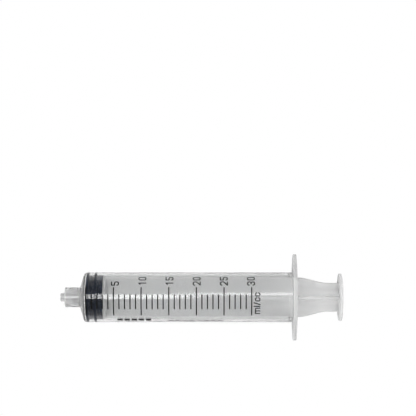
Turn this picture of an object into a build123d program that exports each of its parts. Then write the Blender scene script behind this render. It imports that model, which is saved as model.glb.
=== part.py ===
from build123d import *
import math
import os

# 30 mL syringe with a Luer lock tip: barrel, rubber stopper, plunger rod and the printed scale.
# Units are millimetres. The syringe lies on its flange, with its axis along X: the tip points to -X,
# the thumb press to +X, and the printed scale faces up. The origin is at the middle of the length,
# on the surface that the flange rests on.

# Making: cutters run past the faces that they open, and joined solids run into each other, by this much
cutter_margin = 1.0
join_depth = 0.5

# Barrel tube
bore_d = 22.0
wall = 1.0
barrel_d = bore_d + 2 * wall
shoulder_angle = 16.5
shoulder_wall = 1.2
shoulder_fillet = 1.7
bore_corner_fillet = 0.6
bead_height = 0.25
bead_length = 0.9
bead_to_mouth = 3.4
mouth_chamfer = 0.35

# Stations along the axis, measured from the end of the tip
collar_front = 2.2
collar_back = 9.5
flange_front = 112.15
flange_thickness = 1.7
thumb_front = 134.3
total_length = 135.7

# Luer lock tip
tip_d = 3.96
tip_taper = 0.06
tip_rounding = 0.35
lumen_d = 2.1
collar_d = 9.57
collar_floor = 0.95
collar_edge_fillet = 0.3
thread_major_d = 8.0
thread_minor_d = 7.0
thread_lead = 5.0
thread_starts = 2
thread_root_width = 1.15
thread_crest_width = 0.5
thread_front_gap = 0.75
thread_turns = 0.92
thread_bite = 0.15

# Flange: flats above and below the bore, and two rounded ears
flange_length = 41.7
flange_height = 26.0
flange_ear_r = 6.0
flange_flat_half = 8.0
flange_corner_r = 3.0
flange_edge_fillet = 0.35

# Rubber stopper
ring_clearance = 0.03
stopper_body_d = 21.3
ring_front = 12.87
ring_length = 1.35
second_ring_front = 16.6
stopper_back = 20.7
ring_rounding = 0.3
rear_rounding = 0.225
nose_r = 1.3
nose_gap = 0.28

# Rod head and its socket in the stopper
neck_d = 9.0
head_d = 13.0
socket_depth = 5.0
lip_length = 2.6
head_side_gap = 0.06
head_end_gap = 0.05
head_chamfer = 0.7

# Plunger rod
pusher_d = 20.5
pusher_length = 1.3
pusher_edge_fillet = 0.2
rib_width = 19.2
rib_thickness = 1.4
rib_end_width = 13.85
taper_start = 113.57
taper_end = 130.07
taper_handle = 6.5
thumb_d = 23.0
thumb_edge_fillet = 0.55

# Printed scale
ink = 0.03
pen_reach = 1.0
nominal_ml = 30
major_step_ml = 5
zero_line = 13.07
line_width = 0.56
long_line_angles = (-27.0, 42.3)
short_line_angles = (-9.7, 24.6)
numeral_start_angle = -31.0
numeral_height = 3.85
numeral_width = 2.35
numeral_gap = 0.7
numeral_stroke = 0.54
numeral_first_shift = 0.65
numeral_pitch = 12.975

# Shapes of the numerals, as shares of half a numeral's width or height
round_share = 0.9
hook_share = 0.55
one_stem_share = 0.25
one_flag_share = 0.5
one_flag_drop = 0.62
two_waist_share = 0.05
two_knee_share = 0.4
three_middle_share = 0.2
five_shelf_share = 0.15

# Printed unit mark and side dashes
unit_start_angle = 37.7
unit_baseline = 96.12
unit_x_height = 2.6
unit_ascender = 3.3
unit_gap = 0.4
unit_stroke = 0.5
m_width = 3.54
arch_share = 0.85
c_lip_high = 0.72
c_lip_low = 0.38
slash_drop = 0.1
c_width = 1.95
slash_width = 1.4
dash_length = 2.6
dash_pitch = 3.4

# Side dashes: station of the first dash, how many, their height and the angle of their middle
bold_dashes = (27.8, 5, 2.0, 59.5)
fine_dashes = (52.2, 8, 0.7, 63.0)

axis_height = flange_height / 2
bore_r = bore_d / 2
barrel_r = barrel_d / 2
flange_back = flange_front + flange_thickness
ml_pitch = 1000 / (math.pi * bore_r**2)
shoulder_slope = math.tan(math.radians(shoulder_angle))
shoulder_edge = collar_back + (barrel_r - collar_d / 2) * shoulder_slope
cone_apex = shoulder_edge + shoulder_wall - barrel_r * shoulder_slope
bore_front = cone_apex + bore_r * shoulder_slope
place = Location((-total_length / 2, 0, axis_height))


def rounded_turned(points, radii):
    """Solid of revolution whose profile corners are rounded: radii maps a corner's number to its radius."""
    face = make_face(Polyline(*points, close=True))
    for number, radius in radii.items():
        x, y = points[number]
        corner = face.vertices().sort_by_distance((x, y, 0))[0]
        face = fillet(corner, radius)
    return revolve(face, Axis.X)


def rod(x0, x1, diameter):
    """Cylinder along the axis between two stations."""
    return Pos((x0 + x1) / 2, 0, 0) * Rot(0, 90, 0) * Cylinder(diameter / 2, x1 - x0)


def flange_outline():
    """Outline of the flange, drawn across the axis: two ears and flats above and below."""
    ear_y = flange_length / 2 - flange_ear_r
    flat_z = flange_height / 2 - flange_corner_r
    circles = [Pos(side * ear_y, 0) * Circle(flange_ear_r) for side in (-1, 1)]
    for side in (-1, 1):
        for level in (-1, 1):
            circles.append(Pos(side * flange_flat_half, level * flat_z) * Circle(flange_corner_r))
    edges = [edge for circle in circles for edge in circle.edges()]
    return make_hull(edges)


def flange():
    across = Plane(origin=(flange_front, 0, 0), x_dir=(0, 1, 0), z_dir=(1, 0, 0))
    plate = extrude(across * flange_outline(), flange_thickness)
    rims = plate.faces().sort_by(Axis.X)[0].edges() + plate.faces().sort_by(Axis.X)[-1].edges()
    return fillet(rims, flange_edge_fillet)


def collar_thread():
    """Inner thread ridges of the Luer lock collar, right handed, one for each start."""
    start = collar_front + thread_front_gap
    radius = thread_major_d / 2
    bite = radius + thread_bite
    crest = thread_minor_d / 2
    length = thread_lead * thread_turns
    path = Edge.make_helix(thread_lead, length, radius, (start, 0, 0), (1, 0, 0))
    section_plane = Plane(origin=path @ 0, x_dir=(1, 0, 0), z_dir=path % 0)
    outward = section_plane.to_local_coords(Vector(start, 0, 0)).Y
    inward = math.copysign(1, outward)
    depth = (radius - crest) * inward
    base = (radius - bite) * inward
    section = Polyline(
        (-thread_root_width / 2, base),
        (thread_root_width / 2, base),
        (thread_crest_width / 2, depth),
        (-thread_crest_width / 2, depth),
        close=True,
    )
    ridge = sweep(section_plane * make_face(section), path, is_frenet=True)
    return [Rot(360 * n / thread_starts, 0, 0) * ridge for n in range(thread_starts)]


def barrel():
    tip_base_r = tip_d / 2 + tip_taper / 2 * (collar_back - collar_floor)
    floor = collar_back - collar_floor
    outer = rounded_turned(
        [
            (collar_front, 0),
            (collar_front, collar_d / 2),
            (collar_back, collar_d / 2),
            (shoulder_edge, barrel_r),
            (flange_back, barrel_r),
            (flange_back, 0),
        ],
        {1: collar_edge_fillet, 3: shoulder_fillet},
    )
    body = outer + flange()
    body -= rod(collar_front - cutter_margin, floor, thread_major_d)
    tip = rounded_turned(
        [(0, 0), (0, tip_d / 2), (floor, tip_base_r), (collar_back, tip_base_r), (collar_back, 0)],
        {1: tip_rounding},
    )
    body += tip
    for ridge in collar_thread():
        body += ridge
    bead = flange_back - bead_to_mouth
    chamber = rounded_turned(
        [
            (cone_apex, 0),
            (bore_front, bore_r),
            (bead - bead_length / 2, bore_r),
            (bead, bore_r - bead_height),
            (bead + bead_length / 2, bore_r),
            (flange_back - mouth_chamfer, bore_r),
            (flange_back, bore_r + mouth_chamfer),
            (flange_back + cutter_margin, bore_r + mouth_chamfer),
            (flange_back + cutter_margin, 0),
        ],
        {1: bore_corner_fillet},
    )
    body -= chamber
    body -= rod(-cutter_margin, cone_apex + cutter_margin, lumen_d)
    return body


def socket_stations():
    """Front wall, lip and neck stations of the stopper's socket."""
    front = stopper_back - socket_depth
    lip_front = stopper_back - lip_length
    return front, lip_front


def stopper():
    ring_r = bore_r - ring_clearance
    body_r = stopper_body_d / 2
    nose_x = ring_front - (ring_r - nose_r - nose_gap) * shoulder_slope
    rubber = rounded_turned(
        [
            (nose_x, 0),
            (nose_x, nose_r),
            (ring_front, ring_r),
            (ring_front + ring_length, ring_r),
            (ring_front + ring_length, body_r),
            (second_ring_front, body_r),
            (second_ring_front, ring_r),
            (second_ring_front + ring_length, ring_r),
            (second_ring_front + ring_length, body_r),
            (stopper_back, body_r),
            (stopper_back, 0),
        ],
        {
            2: ring_rounding,
            3: ring_rounding,
            6: ring_rounding,
            7: ring_rounding,
            9: rear_rounding,
        },
    )
    front, lip_front = socket_stations()
    rubber -= rod(front, lip_front, head_d + 2 * head_side_gap)
    rubber -= rod(lip_front - cutter_margin, stopper_back + cutter_margin, neck_d + 2 * head_side_gap)
    return rubber


def rib_outline():
    """Half outline of one rib pair, width against station, with the taper as a smooth S."""
    start = stopper_back + head_end_gap
    half = rib_width / 2
    end_half = rib_end_width / 2
    front = (start, half)
    taper_from = (taper_start, half)
    taper_to = (taper_end, end_half)
    back = (thumb_front + join_depth, end_half)
    s_curve = Bezier(
        taper_from,
        (taper_start + taper_handle, half),
        (taper_end - taper_handle, end_half),
        taper_to,
    )
    return Line(front, taper_from) + s_curve + Line(taper_to, back)


def rib_pair():
    """One flat blade along the whole rod, both sides of the axis."""
    start = stopper_back + head_end_gap
    top = rib_outline()
    bottom = mirror(top, Plane.XZ)
    half = rib_width / 2
    end_half = rib_end_width / 2
    back = thumb_front + join_depth
    closing = Line((start, half), (start, -half)) + Line((back, end_half), (back, -end_half))
    face = make_face(top.edges() + bottom.edges() + closing.edges())
    return extrude(face, rib_thickness / 2, both=True)


def plunger_rod():
    front, lip_front = socket_stations()
    head_front = front + head_end_gap
    head_back = lip_front - head_end_gap
    pusher_front = stopper_back + head_end_gap
    blade = rib_pair()
    body = blade + Rot(90, 0, 0) * blade
    body += rounded_turned(
        [
            (pusher_front, 0),
            (pusher_front, pusher_d / 2),
            (pusher_front + pusher_length, pusher_d / 2),
            (pusher_front + pusher_length, 0),
        ],
        {1: pusher_edge_fillet, 2: pusher_edge_fillet},
    )
    body += rod(head_back - join_depth, pusher_front + join_depth, neck_d)
    head = rod(head_front, head_back, head_d)
    head = chamfer(head.edges().sort_by(Axis.X)[0], head_chamfer)
    body += head
    body += rounded_turned(
        [
            (thumb_front, 0),
            (thumb_front, thumb_d / 2),
            (total_length, thumb_d / 2),
            (total_length, 0),
        ],
        {1: thumb_edge_fillet, 2: thumb_edge_fillet},
    )
    return body


def ink_band(x0, x1, angle0, angle1):
    """Thin printed patch on the barrel between two stations and two angles, counted from the top."""
    strip = Pos((x0 + x1) / 2, barrel_r + ink / 2) * Rectangle(x1 - x0, ink)
    patch = revolve(strip, Axis.X, angle1 - angle0)
    return Rot(90 + angle0, 0, 0) * patch


def scale_lines():
    lines = []
    for ml in range(nominal_ml + 1):
        x = zero_line + ml * ml_pitch
        angles = long_line_angles if ml % major_step_ml == 0 else short_line_angles
        lines.append(ink_band(x - line_width / 2, x + line_width / 2, *angles))
    return Compound(lines)


def digit(character, width, height):
    """Pen strokes of one digit, drawn about its centre. Width and height are to the strokes' middles."""
    x = width / 2
    y = height / 2
    hook = hook_share * y
    round_r = round_share * x
    hook_r = round_share * (y - hook)
    if character == "0":
        halves = [[(-x, 0), (-x, side * y), (x, side * y), (x, 0)] for side in (-1, 1)]
        return [FilletPolyline(*corners, radius=round_r) for corners in halves]
    if character == "1":
        stem = one_stem_share * x
        return [Polyline((-one_flag_share * x, one_flag_drop * y), (stem, y), (stem, -y))]
    if character == "2":
        waist = two_waist_share * y
        corners = [(-x, hook), (-x, y), (x, y), (x, waist), (-x, -y), (x, -y)]
        return [FilletPolyline(*corners, radius=[hook_r, round_r, two_knee_share * x, 0])]
    if character == "3":
        middle = -three_middle_share * x
        upper = [(-x, hook), (-x, y), (x, y), (x, 0), (middle, 0)]
        lower = [(middle, 0), (x, 0), (x, -y), (-x, -y), (-x, -hook)]
        radii = [hook_r, round_r, hook_r]
        return [FilletPolyline(*upper, radius=radii), FilletPolyline(*lower, radius=radii)]
    shelf = five_shelf_share * y
    bar = [(x, y), (-x, y), (-x, shelf)]
    bowl = [(-x, shelf), (x, shelf), (x, -y), (-x, -y), (-x, -hook)]
    return [Polyline(*bar), FilletPolyline(*bowl, radius=[round_r, round_r, hook_r])]


def wrapped(drawing, x, angle):
    """Drawing laid on the barrel as ink: its up points to the tip, its right to falling angles."""
    theta = math.radians(angle)
    outward = (0, -math.sin(theta), math.cos(theta))
    right = (0, math.cos(theta), math.sin(theta))
    spot = Plane(origin=(x, outward[1] * barrel_r, outward[2] * barrel_r), x_dir=right, z_dir=outward)
    pen = extrude(spot * drawing, pen_reach, both=True)
    reach = numeral_height
    shell = rod(x - reach, x + reach, barrel_d + 2 * ink) - rod(x - reach, x + reach, barrel_d)
    return (pen & shell).solids()


def angle_of(arc_length):
    """Angle round the barrel of a length of arc on its surface."""
    return math.degrees(arc_length / barrel_r)


def outlined(lines, width):
    """One face from several pen strokes."""
    face = SlotArc(lines[0], width)
    for line in lines[1:]:
        face += SlotArc(line, width)
    return face


def scale_numerals():
    solids = []
    inner_width = numeral_width - numeral_stroke
    inner_height = numeral_height - numeral_stroke
    for ml in range(major_step_ml, nominal_ml + 1, major_step_ml):
        step = ml // major_step_ml - 1
        x = zero_line + major_step_ml * ml_pitch + numeral_first_shift + step * numeral_pitch
        for place_number, character in enumerate(str(ml)):
            along = numeral_width / 2 + place_number * (numeral_width + numeral_gap)
            drawing = outlined(digit(character, inner_width, inner_height), numeral_stroke)
            solids += wrapped(drawing, x, numeral_start_angle - angle_of(along))
    return Compound(solids)


def unit_glyphs():
    """Width and pen strokes of the characters m, l, slash, c and c, drawn up from the baseline."""
    t = unit_stroke
    low = t / 2
    high = unit_x_height - t / 2
    tall = unit_ascender - t / 2
    m_half = (m_width - t) / 2
    c_half = (c_width - t) / 2
    arch_r = arch_share * m_half / 2
    stem = Line((-m_half, low), (-m_half, high))
    arches = [
        FilletPolyline((left, high), (left + m_half, high), (left + m_half, low), radius=arch_r)
        for left in (-m_half, 0)
    ]
    c_line = FilletPolyline(
        (c_half, c_lip_high * high),
        (c_half, high),
        (-c_half, high),
        (-c_half, low),
        (c_half, low),
        (c_half, c_lip_low * high),
        radius=arch_share * c_half,
    )
    slash_half = (slash_width - t) / 2
    slash = Line((-slash_half, low - slash_drop), (slash_half, tall))
    return [
        (m_width, [stem] + arches),
        (t, [Line((0, low), (0, tall))]),
        (slash_width, [slash]),
        (c_width, [c_line]),
        (c_width, [c_line]),
    ]


def unit_mark():
    solids = []
    along = 0
    for width, lines in unit_glyphs():
        angle = unit_start_angle - angle_of(along + width / 2)
        solids += wrapped(outlined(lines, unit_stroke), unit_baseline, angle)
        along += width + unit_gap
    return Compound(solids)


def side_marks():
    """Two rows of plain dashes low on the side of the barrel."""
    dashes = []
    for row_start, count, height, middle in (bold_dashes, fine_dashes):
        half = angle_of(height) / 2
        for n in range(count):
            x = row_start + n * dash_pitch
            dashes.append(ink_band(x, x + dash_length, middle - half, middle + half))
    return Compound(dashes)


nodes = {
    "barrel": barrel(),
    "stopper": stopper(),
    "plunger_rod": plunger_rod(),
    "scale_lines": scale_lines(),
    "scale_numerals": scale_numerals(),
    "unit_mark": unit_mark(),
    "side_marks": side_marks(),
}
os.makedirs("parts", exist_ok=True)
for name, shape in nodes.items():
    export_step(place * shape, f"parts/{name}.step")
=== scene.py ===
import math

import bmesh
import bpy
import numpy as np
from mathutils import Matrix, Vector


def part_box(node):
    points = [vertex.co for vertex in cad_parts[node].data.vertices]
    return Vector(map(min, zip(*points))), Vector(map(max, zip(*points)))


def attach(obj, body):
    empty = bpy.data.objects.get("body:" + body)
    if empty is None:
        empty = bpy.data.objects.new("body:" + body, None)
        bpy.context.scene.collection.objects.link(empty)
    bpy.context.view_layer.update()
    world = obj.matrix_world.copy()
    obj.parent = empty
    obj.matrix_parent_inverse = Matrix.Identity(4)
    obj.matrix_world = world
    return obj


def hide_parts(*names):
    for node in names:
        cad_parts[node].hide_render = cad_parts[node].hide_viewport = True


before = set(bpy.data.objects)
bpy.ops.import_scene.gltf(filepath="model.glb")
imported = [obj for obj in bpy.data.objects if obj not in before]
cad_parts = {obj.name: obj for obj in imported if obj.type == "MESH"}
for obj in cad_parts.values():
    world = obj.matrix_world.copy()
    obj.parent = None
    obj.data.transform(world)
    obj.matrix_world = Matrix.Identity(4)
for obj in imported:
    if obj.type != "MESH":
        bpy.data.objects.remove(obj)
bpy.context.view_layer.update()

MM = 0.001

# Places and overall sizes come from the frame.
barrel_low, barrel_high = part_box("barrel")
_, rod_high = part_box("plunger_rod")
_, stopper_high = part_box("stopper")
AXIS_Z = (barrel_low.z + barrel_high.z) / 2
TIP = barrel_low.x
MOUTH = barrel_high.x
FLANGE_HALF_LENGTH = barrel_high.y
FLANGE_HALF_HEIGHT = barrel_high.z - AXIS_Z
STOPPER_BACK = stopper_high.x
THUMB_BACK = rod_high.x
THUMB_R = rod_high.y
RING_R = stopper_high.y

# Barrel
BORE_R = 11.0 * MM
WALL = 1.0 * MM
BARREL_R = BORE_R + WALL
SHOULDER_SLOPE = math.tan(math.radians(16.5))
SHOULDER_WALL = 1.2 * MM
SHOULDER_FILLET = 1.7 * MM
BORE_CORNER = 0.6 * MM
BEAD_HEIGHT = 0.12 * MM
BEAD_LENGTH = 1.4 * MM
BEAD_BLEND = 0.3 * MM
BEAD_TO_MOUTH = 3.4 * MM
MOUTH_ROUNDING = 0.3 * MM
FLANGE_THICKNESS = 1.7 * MM
FLANGE_ROOT = 0.3 * MM
FLANGE_EDGE = 0.35 * MM
FLANGE_EAR_R = 6.0 * MM
FLANGE_FLAT_HALF = 8.0 * MM
FLANGE_CORNER_R = 3.0 * MM
FLANGE_DRAWN_WIDTH = 1.0 * MM
FLANGE_FRONT = MOUTH - FLANGE_THICKNESS

# Luer lock tip
COLLAR_FRONT = TIP + 2.2 * MM
COLLAR_BACK = TIP + 9.5 * MM
COLLAR_R = 9.57 / 2 * MM
SHOULDER_EDGE = COLLAR_BACK + (BARREL_R - COLLAR_R) * SHOULDER_SLOPE
COLLAR_FLOOR = COLLAR_BACK - 0.95 * MM
COLLAR_EDGE = 0.3 * MM
COLLAR_ROOT = 0.5 * MM
TIP_R = 3.96 / 2 * MM
TIP_TAPER = 0.03
TIP_ROUNDING = 0.35 * MM
TIP_ROOT = 0.3 * MM
LUMEN_R = 1.05 * MM
LUMEN_FRONT_EDGE = 0.1 * MM
LUMEN_BACK_EDGE = 0.15 * MM
THREAD_R = 4.0 * MM
THREAD_HEIGHT = 0.5 * MM
THREAD_LEAD = 5.0 * MM
THREAD_STARTS = 2
THREAD_ROOT = 1.15 * MM
THREAD_CREST = 0.5 * MM
THREAD_GAP = 0.75 * MM
THREAD_FRONT_FADE = 0.5 * MM
THREAD_BACK_FADE = 0.4 * MM
THREAD_ROWS = 72

# Stopper
RING_FRONT = TIP + 12.87 * MM
RING_LENGTH = 1.35 * MM
SECOND_RING = TIP + 16.6 * MM
STOPPER_R = 10.65 * MM
RING_ROUNDING = 0.25 * MM
RING_FOOT = 0.1 * MM
RING_SQUEEZE = 0.04 * MM
NOSE_R = 1.3 * MM
NOSE_GAP = 0.28 * MM
NOSE_ROUNDING = 0.3 * MM
SOCKET_FRONT = STOPPER_BACK - 5.0 * MM
SOCKET_R = 6.56 * MM
SOCKET_CORNER = 0.4 * MM
LIP_FRONT = STOPPER_BACK - 2.6 * MM
LIP_R = 4.56 * MM
LIP_EDGE = 0.2 * MM
LIP_MOUTH_EDGE = 0.25 * MM
STOPPER_EDGE = 0.3 * MM

# Plunger rod
NECK_R = 4.5 * MM
HEAD_R = 6.5 * MM
HEAD_CHAMFER = 0.7 * MM
HEAD_GAP = 0.05 * MM
HEAD_EDGE = 0.2 * MM
NECK_EDGE = 0.15 * MM
PUSHER_R = 10.25 * MM
PUSHER_FRONT = STOPPER_BACK + HEAD_GAP
PUSHER_BACK = PUSHER_FRONT + 1.3 * MM
PUSHER_EDGE = 0.2 * MM
RIB_HALF = 9.6 * MM
RIB_END_HALF = 6.925 * MM
RIB_HALF_THICKNESS = 0.7 * MM
RIB_EDGE_R = 0.35 * MM
RIB_EDGE_HOLD = 0.3 * MM
RIB_ROOT_R = 0.6 * MM
RIB_FLARE = 0.3 * MM
RIB_OVERLAP = 0.3 * MM
TAPER_START = TIP + 113.57 * MM
TAPER_END = TIP + 130.07 * MM
TAPER_HANDLE = 6.5 * MM
THUMB_FRONT = THUMB_BACK - 1.4 * MM
THUMB_EDGE = 0.55 * MM
GATE_MARK_R = 1.6 * MM
GATE_MARK_FLOOR_R = 1.35 * MM
GATE_MARK_DEPTH = 0.25 * MM

# Stage
FLOOR_WIDTH = 6.0
LIGHT_HEIGHT = 1.2
CAMERA_DISTANCE = 0.7
CAMERA_X = 3.355 * MM
CAMERA_Y = 43.15 * MM
VIEW_WIDTH = 201.1 * MM

TURNS = 256
TURN_ANGLES = np.arange(TURNS) * 2 * math.pi / TURNS
ARC_STEPS = 6
# Nearer than these, a row is on the axis, and two runs of an outline meet.
ON_AXIS = 1e-9
MEETING = 1e-6
POLYPROPYLENE_IOR = 1.49


# ---------------------------------------------------------------- mesh helpers

def arc_points(before, corner, after, radius):
    """Points of the arc that rounds a corner between two straight runs."""
    a = np.array(before) - corner
    b = np.array(after) - corner
    a = a / np.linalg.norm(a)
    b = b / np.linalg.norm(b)
    half = math.acos(float(np.clip(a @ b, -1, 1))) / 2
    reach = radius / math.tan(half)
    middle = (a + b) / np.linalg.norm(a + b)
    centre = corner + middle * radius / math.sin(half)
    start = corner + a * reach - centre
    end = corner + b * reach - centre
    turn = math.atan2(start[0] * end[1] - start[1] * end[0], start @ end)
    out = []
    for k in range(ARC_STEPS + 1):
        t = turn * k / ARC_STEPS
        c, s = math.cos(t), math.sin(t)
        out.append(centre + (c * start[0] - s * start[1], s * start[0] + c * start[1]))
    return out


def outline(corners, hold=0.12 * MM, longest=4 * MM):
    """Dense (x, r) outline from (x, r, rounding) corners. Straight runs keep a row near each end."""
    last = len(corners) - 1
    pieces = []
    for i, (x, r, rounding) in enumerate(corners):
        here = np.array((x, r))
        if rounding and 0 < i < last:
            pieces.append(arc_points(corners[i - 1][:2], here, corners[i + 1][:2], rounding))
        else:
            pieces.append([here])
    points = list(pieces[0])
    for piece, following in zip(pieces, pieces[1:]):
        start, end = piece[-1], following[0]
        length = float(np.linalg.norm(end - start))
        if length > 3 * hold:
            inner = max(1, math.ceil((length - 2 * hold) / longest))
            marks = [hold + (length - 2 * hold) * k / inner for k in range(inner + 1)]
            points += [start + (end - start) * m / length for m in marks]
        points += following
    return points


def turned(name, rows, closed=False):
    """Object of revolution about the syringe's axis. A row is (x, r), each a number or one per turn step."""
    verts, rings = [], []
    for x, r in rows:
        if np.ndim(r) == 0 and r < ON_AXIS:
            rings.append([len(verts)])
            verts.append((float(x), 0.0, AXIS_Z))
            continue
        xs = np.broadcast_to(x, TURNS)
        rs = np.broadcast_to(r, TURNS)
        rings.append(list(range(len(verts), len(verts) + TURNS)))
        verts += zip(xs, rs * np.cos(TURN_ANGLES), AXIS_Z + rs * np.sin(TURN_ANGLES))
    faces = []
    following = rings[1:] + rings[:1] if closed else rings[1:]
    for a, b in zip(rings, following):
        for k in range(TURNS):
            n = (k + 1) % TURNS
            corners = (a[k % len(a)], a[n % len(a)], b[n % len(b)], b[k % len(b)])
            faces.append(tuple(dict.fromkeys(corners)))
    return mesh_object(name, verts, faces)


def mesh_object(name, verts, faces):
    mesh = bpy.data.meshes.new(name)
    mesh.from_pydata([tuple(map(float, v)) for v in verts], [], faces)
    mesh.validate()
    work = bmesh.new()
    work.from_mesh(mesh)
    bmesh.ops.recalc_face_normals(work, faces=work.faces)
    work.to_mesh(mesh)
    work.free()
    mesh.shade_smooth()
    piece = bpy.data.objects.new(name, mesh)
    bpy.context.scene.collection.objects.link(piece)
    return piece


def joined(target, others):
    """Boolean union of closed meshes into the first one."""
    for other in others:
        union = target.modifiers.new("union", "BOOLEAN")
        union.operation = "UNION"
        union.solver = "EXACT"
        union.object = other
        bpy.context.view_layer.update()
        graph = bpy.context.evaluated_depsgraph_get()
        mesh = bpy.data.meshes.new_from_object(target.evaluated_get(graph))
        target.modifiers.clear()
        target.data = mesh
        bpy.data.objects.remove(other)
    return target


def shaded(piece, sharp_degrees):
    """Smooth shading, with edges sharper than the angle kept crisp."""
    piece.data.shade_smooth()
    piece.data.set_sharp_from_angle(angle=math.radians(sharp_degrees))
    return piece


# ---------------------------------------------------------------- barrel

def flange_radius():
    """Distance from the axis to the flange's rim, for each turn step: the outline round six circles."""
    ear_y = FLANGE_HALF_LENGTH - FLANGE_EAR_R
    flat_z = FLANGE_HALF_HEIGHT - FLANGE_CORNER_R
    circles = [(side * ear_y, 0.0, FLANGE_EAR_R) for side in (-1, 1)]
    for side in (-1, 1):
        for level in (-1, 1):
            circles.append((side * FLANGE_FLAT_HALF, level * flat_z, FLANGE_CORNER_R))
    facing_step_degrees = 0.1
    least_facing = 0.05
    facing = np.radians(np.arange(0, 360, facing_step_degrees))
    reach = np.max([y * np.cos(facing) + z * np.sin(facing) + r for y, z, r in circles], axis=0)
    rim = []
    for angle in TURN_ANGLES:
        toward = np.cos(angle - facing)
        seen = toward > least_facing
        rim.append(float(np.min(reach[seen] / toward[seen])))
    return np.array(rim)


def flange_rows(rim):
    """Rows of the flange, from its front root to the mouth: drawn round, then stretched to the rim."""
    base = BARREL_R + FLANGE_DRAWN_WIDTH
    profile = outline(
        [
            (FLANGE_FRONT, BORE_R, 0),
            (FLANGE_FRONT, base, FLANGE_EDGE),
            (MOUTH, base, FLANGE_EDGE),
            (MOUTH, BORE_R, 0),
        ],
        hold=0.1 * MM,
    )
    inner = BARREL_R + FLANGE_ROOT
    outer = base - FLANGE_EDGE
    rows = []
    for x, r in profile:
        if r < inner:
            continue
        share = min(1.0, (r - inner) / (outer - inner))
        rows.append((x, r + share * (rim - base)))
    return rows


def thread_rows():
    """Rows of the collar's inner wall, from its floor to its front, with the thread ridges raised."""
    front = COLLAR_FRONT + COLLAR_EDGE / 2
    spacing = THREAD_LEAD / THREAD_STARTS
    flank = (THREAD_ROOT - THREAD_CREST) / 2
    rows = []
    for k in range(THREAD_ROWS + 1):
        x = COLLAR_FLOOR + (front - COLLAR_FLOOR) * k / THREAD_ROWS
        into = x - COLLAR_FRONT
        within = (into - TURN_ANGLES / (2 * math.pi) * THREAD_LEAD) % spacing
        away = np.abs(within - spacing / 2)
        ridge = np.clip((THREAD_ROOT / 2 - away) / flank, 0, 1)
        ridge = ridge * ridge * (3 - 2 * ridge)
        front_fade = np.clip((into - THREAD_GAP) / THREAD_FRONT_FADE, 0, 1)
        back_fade = np.clip((COLLAR_FLOOR - x) / THREAD_BACK_FADE, 0, 1)
        rows.append((x, THREAD_R - THREAD_HEIGHT * ridge * front_fade * back_fade))
    return rows


def barrel_rows():
    """Rows round the whole barrel: tip, collar with its thread, outside, flange, then back down the bore."""
    tip_base_r = TIP_R + TIP_TAPER * (COLLAR_FLOOR - TIP)
    apex = SHOULDER_EDGE + SHOULDER_WALL - BARREL_R * SHOULDER_SLOPE
    bore_front = apex + BORE_R * SHOULDER_SLOPE
    bead = MOUTH - BEAD_TO_MOUTH
    tip = outline(
        [
            (TIP, LUMEN_R, 0),
            (TIP, TIP_R, TIP_ROUNDING),
            (COLLAR_FLOOR, tip_base_r, TIP_ROOT),
            (COLLAR_FLOOR, THREAD_R, 0),
        ]
    )
    outside = outline(
        [
            (COLLAR_FRONT + COLLAR_EDGE / 2, THREAD_R, 0),
            (COLLAR_FRONT, THREAD_R + COLLAR_EDGE / 2, 0),
            (COLLAR_FRONT, COLLAR_R, COLLAR_EDGE),
            (COLLAR_BACK, COLLAR_R, COLLAR_ROOT),
            (SHOULDER_EDGE, BARREL_R, SHOULDER_FILLET),
            (FLANGE_FRONT, BARREL_R, FLANGE_ROOT),
            (FLANGE_FRONT, BARREL_R + 2 * FLANGE_ROOT, 0),
        ]
    )
    bore = outline(
        [
            (MOUTH, BORE_R + 2 * MOUTH_ROUNDING, 0),
            (MOUTH, BORE_R, MOUTH_ROUNDING),
            (bead + BEAD_LENGTH / 2, BORE_R, BEAD_BLEND),
            (bead, BORE_R - BEAD_HEIGHT, BEAD_BLEND),
            (bead - BEAD_LENGTH / 2, BORE_R, BEAD_BLEND),
            (bore_front, BORE_R, BORE_CORNER),
            (apex + LUMEN_R * SHOULDER_SLOPE, LUMEN_R, LUMEN_BACK_EDGE),
            (TIP, LUMEN_R, LUMEN_FRONT_EDGE),
            (TIP, TIP_R - TIP_ROUNDING, 0),
        ]
    )
    # The runs meet on the tip's front face, on the collar's floor and front, and at the flange's root.
    tip = [(x, r) for x, r in tip if x > TIP + MEETING or r > TIP_R - TIP_ROUNDING]
    outside = [(x, r) for x, r in outside if r <= BARREL_R + FLANGE_ROOT + MEETING]
    return tip[:-1] + thread_rows() + outside[1:] + flange_rows(flange_radius()) + bore[1:]


def barrel_mesh():
    return shaded(turned("barrel_clear", barrel_rows(), closed=True), sharp_degrees=50)


# ---------------------------------------------------------------- stopper

def stopper_mesh():
    nose_x = RING_FRONT - (RING_R - NOSE_R - NOSE_GAP) * SHOULDER_SLOPE
    ring_r = BORE_R + RING_SQUEEZE
    rows = outline(
        [
            (nose_x, 0, 0),
            (nose_x, NOSE_R, NOSE_ROUNDING),
            (RING_FRONT, ring_r, RING_ROUNDING),
            (RING_FRONT + RING_LENGTH, ring_r, RING_ROUNDING),
            (RING_FRONT + RING_LENGTH, STOPPER_R, RING_FOOT),
            (SECOND_RING, STOPPER_R, RING_FOOT),
            (SECOND_RING, ring_r, RING_ROUNDING),
            (SECOND_RING + RING_LENGTH, ring_r, RING_ROUNDING),
            (SECOND_RING + RING_LENGTH, STOPPER_R, RING_FOOT),
            (STOPPER_BACK, STOPPER_R, STOPPER_EDGE),
            (STOPPER_BACK, LIP_R, LIP_MOUTH_EDGE),
            (LIP_FRONT, LIP_R, LIP_EDGE),
            (LIP_FRONT, SOCKET_R, LIP_EDGE),
            (SOCKET_FRONT, SOCKET_R, SOCKET_CORNER),
            (SOCKET_FRONT, 0, 0),
        ],
        longest=1.5 * MM,
    )
    return shaded(turned("stopper_rubber", rows), sharp_degrees=50)


# ---------------------------------------------------------------- plunger rod

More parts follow.
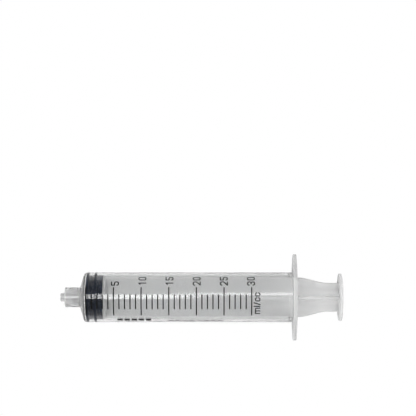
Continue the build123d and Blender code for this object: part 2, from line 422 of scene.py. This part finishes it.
def bezier(t, a, b, c, d):
    u = 1 - t
    return u**3 * a + 3 * u * u * t * b + 3 * u * t * t * c + t**3 * d


def rib_half_width(x):
    """Half width of the ribs at a station: full in the barrel, then an S down to the thumb press."""
    if x <= TAPER_START:
        return RIB_HALF
    if x >= TAPER_END:
        return RIB_END_HALF
    low, high = 0.0, 1.0
    for _ in range(40):
        t = (low + high) / 2
        at = bezier(t, TAPER_START, TAPER_START + TAPER_HANDLE, TAPER_END - TAPER_HANDLE, TAPER_END)
        if at < x:
            low = t
        else:
            high = t
    return bezier(t, RIB_HALF, RIB_HALF, RIB_END_HALF, RIB_END_HALF)


def rib_flare(x):
    """How much the ribs grow beside the pusher and the thumb press, as a quarter circle."""
    clear = min(x - PUSHER_BACK, THUMB_FRONT - x)
    into = min(RIB_FLARE, max(0.0, RIB_FLARE - clear))
    return RIB_FLARE - math.sqrt(RIB_FLARE**2 - into**2)


def cross_section(half, thickness):
    """Outline of the crossed ribs: rounded rib ends and rounded inner corners, as (y, z) points."""
    quarter = []
    for degrees in np.linspace(0, 90, 5):
        t = math.radians(degrees)
        y = half - RIB_EDGE_R + RIB_EDGE_R * math.cos(t)
        z = thickness - RIB_EDGE_R + RIB_EDGE_R * math.sin(t)
        quarter.append((y, z))
    corner = thickness + RIB_ROOT_R
    near_edge = half - RIB_EDGE_R - RIB_EDGE_HOLD
    quarter += [(near_edge, thickness), ((corner + near_edge) / 2, thickness)]
    for degrees in (270, 255, 240):
        t = math.radians(degrees)
        quarter.append((corner + RIB_ROOT_R * math.cos(t), corner + RIB_ROOT_R * math.sin(t)))
    diagonal = corner - RIB_ROOT_R * math.sqrt(0.5)
    quarter.append((diagonal, diagonal))
    quarter += [(z, y) for y, z in reversed(quarter[:-1])]
    points = []
    for turn in range(4):
        c, s = math.cos(turn * math.pi / 2), math.sin(turn * math.pi / 2)
        points += [(c * y - s * z, s * y + c * z) for y, z in quarter]
    return points


def ribs():
    """Crossed ribs from just inside the pusher to just inside the thumb press."""
    steps = np.linspace(0, math.pi / 2, 6)
    stations = [PUSHER_BACK - RIB_OVERLAP]
    stations += [PUSHER_BACK + RIB_FLARE * (1 - math.cos(t)) for t in steps]
    stations += list(np.linspace(PUSHER_BACK + 3 * MM, TAPER_START - 2 * MM, 12))
    stations += list(np.linspace(TAPER_START, TAPER_END, 33))
    stations += [THUMB_FRONT - RIB_FLARE * math.cos(t) for t in steps]
    stations += [THUMB_FRONT + RIB_OVERLAP]
    verts, sections = [], []
    for x in stations:
        flare = rib_flare(x)
        # At the pusher the ribs only grow thicker. At the thumb press they grow wider too.
        wider = flare if x > TAPER_END else 0.0
        section = cross_section(rib_half_width(x) + wider, RIB_HALF_THICKNESS + flare)
        sections.append(range(len(verts), len(verts) + len(section)))
        verts += [(x, y, AXIS_Z + z) for y, z in section]
    faces = [tuple(sections[0]), tuple(reversed(sections[-1]))]
    for a, b in zip(sections, sections[1:]):
        for k in range(len(a)):
            n = (k + 1) % len(a)
            faces.append((a[k], a[n], b[n], b[k]))
    return mesh_object("ribs", verts, faces)


def mark_rib_painted_light(mesh):
    """Point masks, 1 on the ribs' outer edges and 1 in the corner where the ribs meet, where the rod's
    colour carries painted light and shade.
    """
    end_margin = 0.05 * MM
    edge_depth = 0.4 * MM
    root_height = 1.0 * MM
    edges, roots = [], []
    for vertex in mesh.vertices:
        x, y, z = vertex.co
        reach = max(abs(y), abs(z - AXIS_Z))
        on_rib = PUSHER_BACK + end_margin < x < THUMB_FRONT - end_margin
        edges.append(float(on_rib and reach > rib_half_width(x) - edge_depth))
        roots.append(float(on_rib and reach < RIB_HALF_THICKNESS + root_height))
    for name, values in (("rib_edge_painted_light", edges), ("rib_root_painted_light", roots)):
        mesh.attributes.new(name, "FLOAT", "POINT").data.foreach_set("value", values)


def head_and_pusher():
    head_front = SOCKET_FRONT + HEAD_GAP
    head_back = LIP_FRONT - HEAD_GAP
    rows = outline(
        [
            (head_front, 0, 0),
            (head_front, HEAD_R - HEAD_CHAMFER, HEAD_EDGE),
            (head_front + HEAD_CHAMFER, HEAD_R, HEAD_EDGE),
            (head_back, HEAD_R, NECK_EDGE),
            (head_back, NECK_R, NECK_EDGE),
            (PUSHER_FRONT, NECK_R, PUSHER_EDGE),
            (PUSHER_FRONT, PUSHER_R, PUSHER_EDGE),
            (PUSHER_BACK, PUSHER_R, PUSHER_EDGE),
            (PUSHER_BACK, 0, 0),
        ]
    )
    return turned("head", rows)


def thumb_press():
    """Round press with a shallow moulding mark in the middle of its face."""
    rows = outline(
        [
            (THUMB_FRONT, 0, 0),
            (THUMB_FRONT, THUMB_R, THUMB_EDGE),
            (THUMB_BACK, THUMB_R, THUMB_EDGE),
            (THUMB_BACK, GATE_MARK_R, 0),
            (THUMB_BACK - GATE_MARK_DEPTH, GATE_MARK_FLOOR_R, 0),
            (THUMB_BACK - GATE_MARK_DEPTH, 0, 0),
        ],
        longest=2 * MM,
    )
    return turned("thumb", rows)


def rod_mesh():
    ends = [head_and_pusher(), thumb_press()]
    rod = joined(ribs(), ends)
    mark_rib_painted_light(rod.data)
    rod.name = "rod_milky"
    rod.data.name = "rod_milky"
    return shaded(rod, sharp_degrees=35)


# ---------------------------------------------------------------- materials

def node_material(name):
    material = bpy.data.materials.new(name)
    material.use_nodes = True
    tree = material.node_tree
    shader = tree.nodes["Principled BSDF"]
    place = tree.nodes.new("ShaderNodeTexCoord")
    return material, tree, shader, place.outputs["Object"]


def noise(tree, place, scale, detail=3.0, rough=0.5, stretch=None):
    """Noise texture over the object's own coordinates, in metres. Stretch scales its three axes."""
    if stretch:
        mapping = tree.nodes.new("ShaderNodeMapping")
        mapping.inputs["Scale"].default_value = stretch
        tree.links.new(place, mapping.inputs["Vector"])
        place = mapping.outputs["Vector"]
    texture = tree.nodes.new("ShaderNodeTexNoise")
    texture.inputs["Scale"].default_value = scale
    texture.inputs["Detail"].default_value = detail
    texture.inputs["Roughness"].default_value = rough
    tree.links.new(place, texture.inputs["Vector"])
    return texture.outputs["Fac"]


def mapped(tree, value, low, high, source=(0.3, 0.7)):
    """The value, taken from its source range to low..high."""
    node = tree.nodes.new("ShaderNodeMapRange")
    node.inputs["From Min"].default_value = source[0]
    node.inputs["From Max"].default_value = source[1]
    node.inputs["To Min"].default_value = low
    node.inputs["To Max"].default_value = high
    tree.links.new(value, node.inputs["Value"])
    return node.outputs["Result"]


def tones(tree, value, dark, light, source=(0.3, 0.7)):
    """Colour between two tones by the value."""
    ramp = tree.nodes.new("ShaderNodeValToRGB")
    ramp.color_ramp.elements[0].position = source[0]
    ramp.color_ramp.elements[1].position = source[1]
    ramp.color_ramp.elements[0].color = (*dark, 1)
    ramp.color_ramp.elements[1].color = (*light, 1)
    tree.links.new(value, ramp.inputs["Fac"])
    return ramp.outputs["Color"]


def along(tree, place, stops):
    """Value that changes along the syringe, from (x, value) stops in rising order."""
    parts = tree.nodes.new("ShaderNodeSeparateXYZ")
    tree.links.new(place, parts.inputs["Vector"])
    first, last = stops[0][0], stops[-1][0]
    share = mapped(tree, parts.outputs["X"], 0, 1, (first, last))
    ramp = tree.nodes.new("ShaderNodeValToRGB")
    elements = ramp.color_ramp.elements
    while len(elements) < len(stops):
        elements.new(0.5)
    for element, (x, value) in zip(elements, stops):
        element.position = (x - first) / (last - first)
        element.color = (value, value, value, 1)
    tree.links.new(share, ramp.inputs["Fac"])
    return ramp.outputs["Color"]


def mixed(tree, share, first, second):
    """Mix of two colours, or of two colour outputs, by a share."""
    node = tree.nodes.new("ShaderNodeMix")
    node.data_type = "RGBA"
    tree.links.new(share, node.inputs["Factor"])
    for colour, socket in ((first, node.inputs["A"]), (second, node.inputs["B"])):
        if isinstance(colour, tuple):
            socket.default_value = (*colour, 1)
        else:
            tree.links.new(colour, socket)
    return node.outputs["Result"]


def multiplied(tree, first, second):
    """Product of two colour outputs."""
    node = tree.nodes.new("ShaderNodeMix")
    node.data_type = "RGBA"
    node.blend_type = "MULTIPLY"
    node.inputs["Factor"].default_value = 1.0
    tree.links.new(first, node.inputs["A"])
    tree.links.new(second, node.inputs["B"])
    return node.outputs["Result"]


def bump(tree, shader, height, distance, strength=1.0):
    node = tree.nodes.new("ShaderNodeBump")
    node.inputs["Strength"].default_value = strength
    node.inputs["Distance"].default_value = distance
    tree.links.new(height, node.inputs["Height"])
    tree.links.new(node.outputs["Normal"], shader.inputs["Normal"])


def clear_plastic():
    """Translucent polypropylene: clear in the thin tube, milky where it is thick, with fine flow marks."""
    material, tree, shader, place = node_material("clear_plastic")
    shader.inputs["IOR"].default_value = POLYPROPYLENE_IOR
    shader.inputs["Subsurface Weight"].default_value = 1.0
    shader.inputs["Subsurface Radius"].default_value = (1.0, 1.0, 1.0)
    shader.inputs["Subsurface Scale"].default_value = 2.0 * MM
    stations = [
        # place, milkiness, tint; the flange's dark tint is painted shade
        (TIP, 0.3, 0.79),
        (COLLAR_FRONT, 0.3, 0.79),
        (COLLAR_FRONT + 1 * MM, 0.12, 0.93),
        (COLLAR_FLOOR, 0.12, 0.93),
        (COLLAR_BACK + 0.8 * MM, 0.13, 0.88),
        (SHOULDER_EDGE, 0.1, 0.9),
        (SHOULDER_EDGE + 0.8 * MM, 0.0, 1.0),
        (STOPPER_BACK, 0.0, 1.0),
        (STOPPER_BACK + 15 * MM, 0.03, 1.0),
        (FLANGE_FRONT - 0.5 * MM, 0.03, 1.0),
        # Painted shade: the flange's tint is dark because its faces toward the lights are lit fully.
        (FLANGE_FRONT, 1.0, 0.49),
        (MOUTH, 1.0, 0.49),
    ]
    milk = along(tree, place, [(x, haze) for x, haze, _ in stations])
    tint_and_flange_shade = along(tree, place, [(x, tone) for x, _, tone in stations])
    flow = noise(tree, place, 60, 3, 0.5, (0.25, 1, 1))
    fine = noise(tree, place, 300, 2, 0.5)
    clear = tones(tree, flow, (0.985, 0.99, 0.99), (0.995, 1.0, 1.0))
    tree.links.new(multiplied(tree, clear, tint_and_flange_shade), shader.inputs["Base Color"])
    tree.links.new(mapped(tree, milk, 0.995, 0.0, (0, 1)), shader.inputs["Transmission Weight"])
    smooth = mapped(tree, fine, 0.07, 0.09)
    total = tree.nodes.new("ShaderNodeMath")
    tree.links.new(smooth, total.inputs[0])
    tree.links.new(mapped(tree, milk, 0.0, 0.25, (0, 1)), total.inputs[1])
    tree.links.new(total.outputs["Value"], shader.inputs["Roughness"])
    bump(tree, shader, flow, 0.0005 * MM)
    return material


def rod_plastic():
    """Milky polypropylene with a fine moulded grain. Painted light and shade along the rod: lighter inside
    the barrel, darker by the stopper and down to the thumb press. The ribs' outer edges and the corner where
    they meet carry painted light and shade."""
    material, tree, shader, place = node_material("rod_plastic")
    shader.inputs["IOR"].default_value = POLYPROPYLENE_IOR
    shader.inputs["Specular IOR Level"].default_value = 0.1
    shader.inputs["Subsurface Weight"].default_value = 1.0
    shader.inputs["Subsurface Radius"].default_value = (1.0, 1.0, 1.0)
    shader.inputs["Subsurface Scale"].default_value = 6.0 * MM
    cloud = noise(tree, place, 140, 4, 0.55)
    grain = noise(tree, place, 2500, 2, 0.5)
    cloudy = tones(tree, cloud, (0.96, 0.965, 0.97), (1.0, 1.0, 0.995))
    # Painted light and shade: lighter inside the barrel for the light the tube takes away, darker by the
    # stopper where its shade falls, and darker on the exposed ribs and the thumb press, which face the
    # lights.
    painted_light_along_rod = along(
        tree,
        place,
        [
            (STOPPER_BACK, 0.77),
            (STOPPER_BACK + 12 * MM, 0.82),
            (TAPER_START - 6 * MM, 0.82),
            (TAPER_START + 2 * MM, 0.69),
            (THUMB_FRONT - 2 * MM, 0.6),
            (THUMB_FRONT, 0.46),
            (THUMB_BACK, 0.46),
        ],
    )
    # Painted shade darkens the ribs' lit outer edges outside the barrel, and painted light lifts the shaded
    # corner where the ribs meet.
    edge_painted_light_mask, root_painted_light_mask = (tree.nodes.new("ShaderNodeAttribute") for _ in range(2))
    edge_painted_light_mask.attribute_name = "rib_edge_painted_light"
    root_painted_light_mask.attribute_name = "rib_root_painted_light"
    body = multiplied(tree, cloudy, painted_light_along_rod)
    root_painted_light_share = mapped(tree, root_painted_light_mask.outputs["Fac"], 0, 0.5, (0, 1))
    body_with_root_painted_light = mixed(tree, root_painted_light_share, body, (0.96, 0.96, 0.96))
    # Tone of the painted light and shade on the ribs' outer edges: lighter than the body inside the barrel,
    # darker outside it.
    outer = along(
        tree,
        place,
        [
            (STOPPER_BACK, 0.9),
            (TAPER_START - 6 * MM, 0.9),
            (TAPER_START + 2 * MM, 0.52),
            (THUMB_BACK, 0.46),
        ],
    )
    tree.links.new(mixed(tree, edge_painted_light_mask.outputs["Fac"], body_with_root_painted_light, outer), shader.inputs["Base Color"])
    tree.links.new(mapped(tree, cloud, 0.45, 0.6), shader.inputs["Roughness"])
    bump(tree, shader, grain, 0.01 * MM, 0.4)
    return material


def stopper_rubber():
    """Dark blue-grey rubber with a faint bloom and a fine moulded texture."""
    material, tree, shader, place = node_material("stopper_rubber")
    shader.inputs["Specular IOR Level"].default_value = 0.22
    cloud = noise(tree, place, 220, 4, 0.6)
    grain = noise(tree, place, 3500, 2, 0.5)
    dark_blue = tones(tree, cloud, (0.002, 0.006, 0.016), (0.004, 0.011, 0.028))
    tree.links.new(dark_blue, shader.inputs["Base Color"])
    tree.links.new(mapped(tree, cloud, 0.4, 0.55), shader.inputs["Roughness"])
    bump(tree, shader, grain, 0.015 * MM, 0.5)
    return material


def print_ink():
    """Black matt pad-printed ink, a little thin and uneven in places."""
    material, tree, shader, place = node_material("print_ink")
    shader.inputs["Specular IOR Level"].default_value = 0.1
    patches = noise(tree, place, 700, 5, 0.65)
    grain = noise(tree, place, 5000, 2, 0.5)
    black = tones(tree, patches, (0.004, 0.004, 0.004), (0.03, 0.03, 0.031), (0.5, 0.8))
    tree.links.new(black, shader.inputs["Base Color"])
    tree.links.new(mapped(tree, patches, 0.6, 0.8), shader.inputs["Roughness"])
    bump(tree, shader, grain, 0.005 * MM, 0.5)
    return material


def use(piece, material):
    piece.data.materials.clear()
    piece.data.materials.append(material)


# ---------------------------------------------------------------- object

def dress_object():
    clear, milky, rubber, ink = clear_plastic(), rod_plastic(), stopper_rubber(), print_ink()
    made = [
        (barrel_mesh(), clear, "barrel", "barrel", "clear_plastic"),
        (stopper_mesh(), rubber, "stopper", "stopper", "stopper_rubber"),
        (rod_mesh(), milky, "plunger_rod", "plunger_rod", "rod_plastic"),
    ]
    for piece, material, node, body, slot in made:
        use(piece, material)
        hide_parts(node)
        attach(piece, body)
    for node in ("scale_lines", "scale_numerals", "unit_mark", "side_marks"):
        use(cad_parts[node], ink)


# ---------------------------------------------------------------- stage

def white_backdrop(tree, shader, output):
    """The camera sees the backdrop as plain white. The syringe sees it as the pale surface that it is."""
    white = tree.nodes.new("ShaderNodeEmission")
    rays = tree.nodes.new("ShaderNodeLightPath")
    choice = tree.nodes.new("ShaderNodeMixShader")
    tree.links.new(rays.outputs["Is Camera Ray"], choice.inputs["Fac"])
    tree.links.new(shader, choice.inputs[1])
    tree.links.new(white.outputs["Emission"], choice.inputs[2])
    tree.links.new(choice.outputs["Shader"], output.inputs["Surface"])


def stage_floor():
    """Plain pale floor under the syringe."""
    half = FLOOR_WIDTH / 2
    corners = [(-half, -half, 0), (half, -half, 0), (half, half, 0), (-half, half, 0)]
    mesh = bpy.data.meshes.new("floor")
    mesh.from_pydata(corners, [], [(0, 1, 2, 3)])
    floor = bpy.data.objects.new("floor", mesh)
    bpy.context.scene.collection.objects.link(floor)
    material, tree, shader, place = node_material("floor_paper")
    pale = tones(tree, noise(tree, place, 6), (0.62, 0.62, 0.62), (0.65, 0.65, 0.65))
    tree.links.new(pale, shader.inputs["Base Color"])
    shader.inputs["Roughness"].default_value = 0.9
    white_backdrop(tree, shader.outputs["BSDF"], tree.nodes["Material Output"])
    use(floor, material)


def area_light(name, low, high, radiance):
    """Downward softbox that spans two corners in X and Y, with the given brightness."""
    light = bpy.data.lights.new(name, "AREA")
    light.shape = "RECTANGLE"
    light.size = high[0] - low[0]
    light.size_y = high[1] - low[1]
    light.energy = radiance * math.pi * light.size * light.size_y
    lamp = bpy.data.objects.new(name, light)
    lamp.location = ((low[0] + high[0]) / 2, (low[1] + high[1]) / 2, LIGHT_HEIGHT)
    bpy.context.scene.collection.objects.link(lamp)


def world_light():
    """Dim surround, brighter towards the ends along X and low at both sides."""
    world = bpy.data.worlds.new("studio")
    bpy.context.scene.world = world
    world.use_nodes = True
    tree = world.node_tree
    place = tree.nodes.new("ShaderNodeTexCoord").outputs["Generated"]
    parts = tree.nodes.new("ShaderNodeSeparateXYZ")
    tree.links.new(place, parts.inputs["Vector"])
    total = tree.nodes.new("ShaderNodeMath")
    glows = [
        # axis, strength where its share is low and high, those shares
        ("X", (0.08, 1.1), (0.3, 0.55)),
        ("Y", (0.0, 0.3), (0.75, 0.97)),
    ]
    for (axis, strength, shares), socket in zip(glows, total.inputs):
        away = tree.nodes.new("ShaderNodeMath")
        away.operation = "ABSOLUTE"
        tree.links.new(parts.outputs[axis], away.inputs[0])
        tree.links.new(mapped(tree, away.outputs["Value"], *strength, shares), socket)
    background = tree.nodes["Background"]
    background.inputs["Color"].default_value = (1, 1, 1, 1)
    tree.links.new(total.outputs["Value"], background.inputs["Strength"])
    white_backdrop(tree, background.outputs["Background"], tree.nodes["World Output"])


def studio():
    world_light()
    area_light("key_softbox", (-0.55, -0.075), (-0.02, 0.37), 5.6)
    area_light("strip_softbox", (-0.02, 0.27), (0.45, 0.56), 4.6)
    area_light("left_fill", (-1.35, -0.8), (-0.75, 0.2), 8.0)
    area_light("right_fill", (0.75, -0.8), (1.35, 0.2), 3.2)


def camera():
    """Looks straight down, above and beside the syringe, so the syringe lies below the picture's middle."""
    data = bpy.data.cameras.new("camera")
    data.sensor_width = 36.0
    data.lens = data.sensor_width * CAMERA_DISTANCE / VIEW_WIDTH
    data.clip_start = 0.01
    data.clip_end = 20.0
    cam = bpy.data.objects.new("camera", data)
    cam.location = (CAMERA_X, CAMERA_Y, AXIS_Z + CAMERA_DISTANCE)
    bpy.context.scene.collection.objects.link(cam)
    bpy.context.scene.camera = cam


dress_object()
stage_floor()
studio()
camera()
bpy.context.scene.view_settings.view_transform = "Standard"
